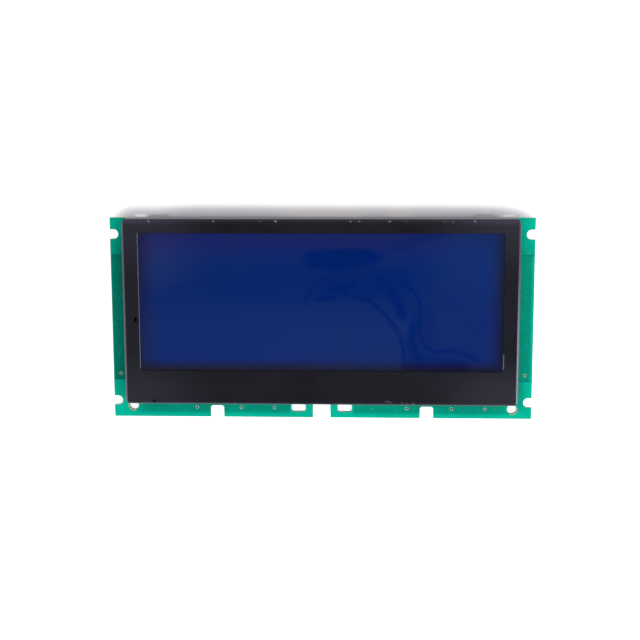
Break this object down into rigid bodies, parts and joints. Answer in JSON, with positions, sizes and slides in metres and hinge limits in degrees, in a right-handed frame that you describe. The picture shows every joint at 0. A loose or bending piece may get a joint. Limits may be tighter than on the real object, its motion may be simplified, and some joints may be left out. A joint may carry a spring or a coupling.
{
  "type": "stn lcd module",
  "caption": "Flat blue graphic display module: a black folded bezel over the display cell and backlight, on a green circuit board with open end slots, corner holes and a notched lower edge.",
  "frame": {"origin": "under the middle of the module's outline, on the surface that it lies on", "axes": "+X along the display to its right, +Y to the display's upper edge, +Z out of the display's face"},
  "size_m": [0.15, 0.0728, 0.0136],
  "materials": {
    "black_paint": "satin",
    "blue_film": "gloss",
    "cell_glass": "gloss",
    "seal_resin": "matte",
    "grey_film": "gloss",
    "elastomer": "matte",
    "white_film": "matte",
    "clear_acrylic": "gloss",
    "white_moulding": "matte",
    "white_laminate": "matte",
    "diode_resin": "gloss",
    "tinned_metal": "tinned",
    "green_laminate": "satin solder mask",
    "chip_resin": "matte",
    "resonator_ceramic": "matte",
    "tantalum_resin": "matte",
    "capacitor_ceramic": "matte",
    "resistor_glaze": "gloss",
    "header_moulding": "matte"
  },
  "bodies": {
    "root": {"bezel": "black_paint", "front_polariser": "blue_film", "front_glass": "cell_glass", "cell_seal": "seal_resin", "rear_glass": "cell_glass", "rear_polariser": "grey_film", "column_connector_strip": "elastomer", "row_connector_strip": "elastomer", "diffuser_sheet": "white_film", "light_guide": "clear_acrylic", "reflector_sheet": "white_film", "backlight_tray": "white_moulding", "led_strip": "white_laminate", "leds": "diode_resin", "backlight_pins": "tinned_metal", "pcb": "green_laminate", "column_drivers": "chip_resin", "row_drivers": "chip_resin", "controller_chip": "chip_resin", "memory_chip": "chip_resin", "bias_amplifier": "chip_resin", "clock_resonator": "resonator_ceramic", "tantalum_capacitors": "tantalum_resin", "ceramic_capacitors": "capacitor_ceramic", "chip_resistors": "resistor_glaze", "chip_terminals": "tinned_metal", "signal_header": "header_moulding", "signal_pins": "tinned_metal", "light_header": "header_moulding", "light_pins": "tinned_metal"}
  },
  "joints": []
}
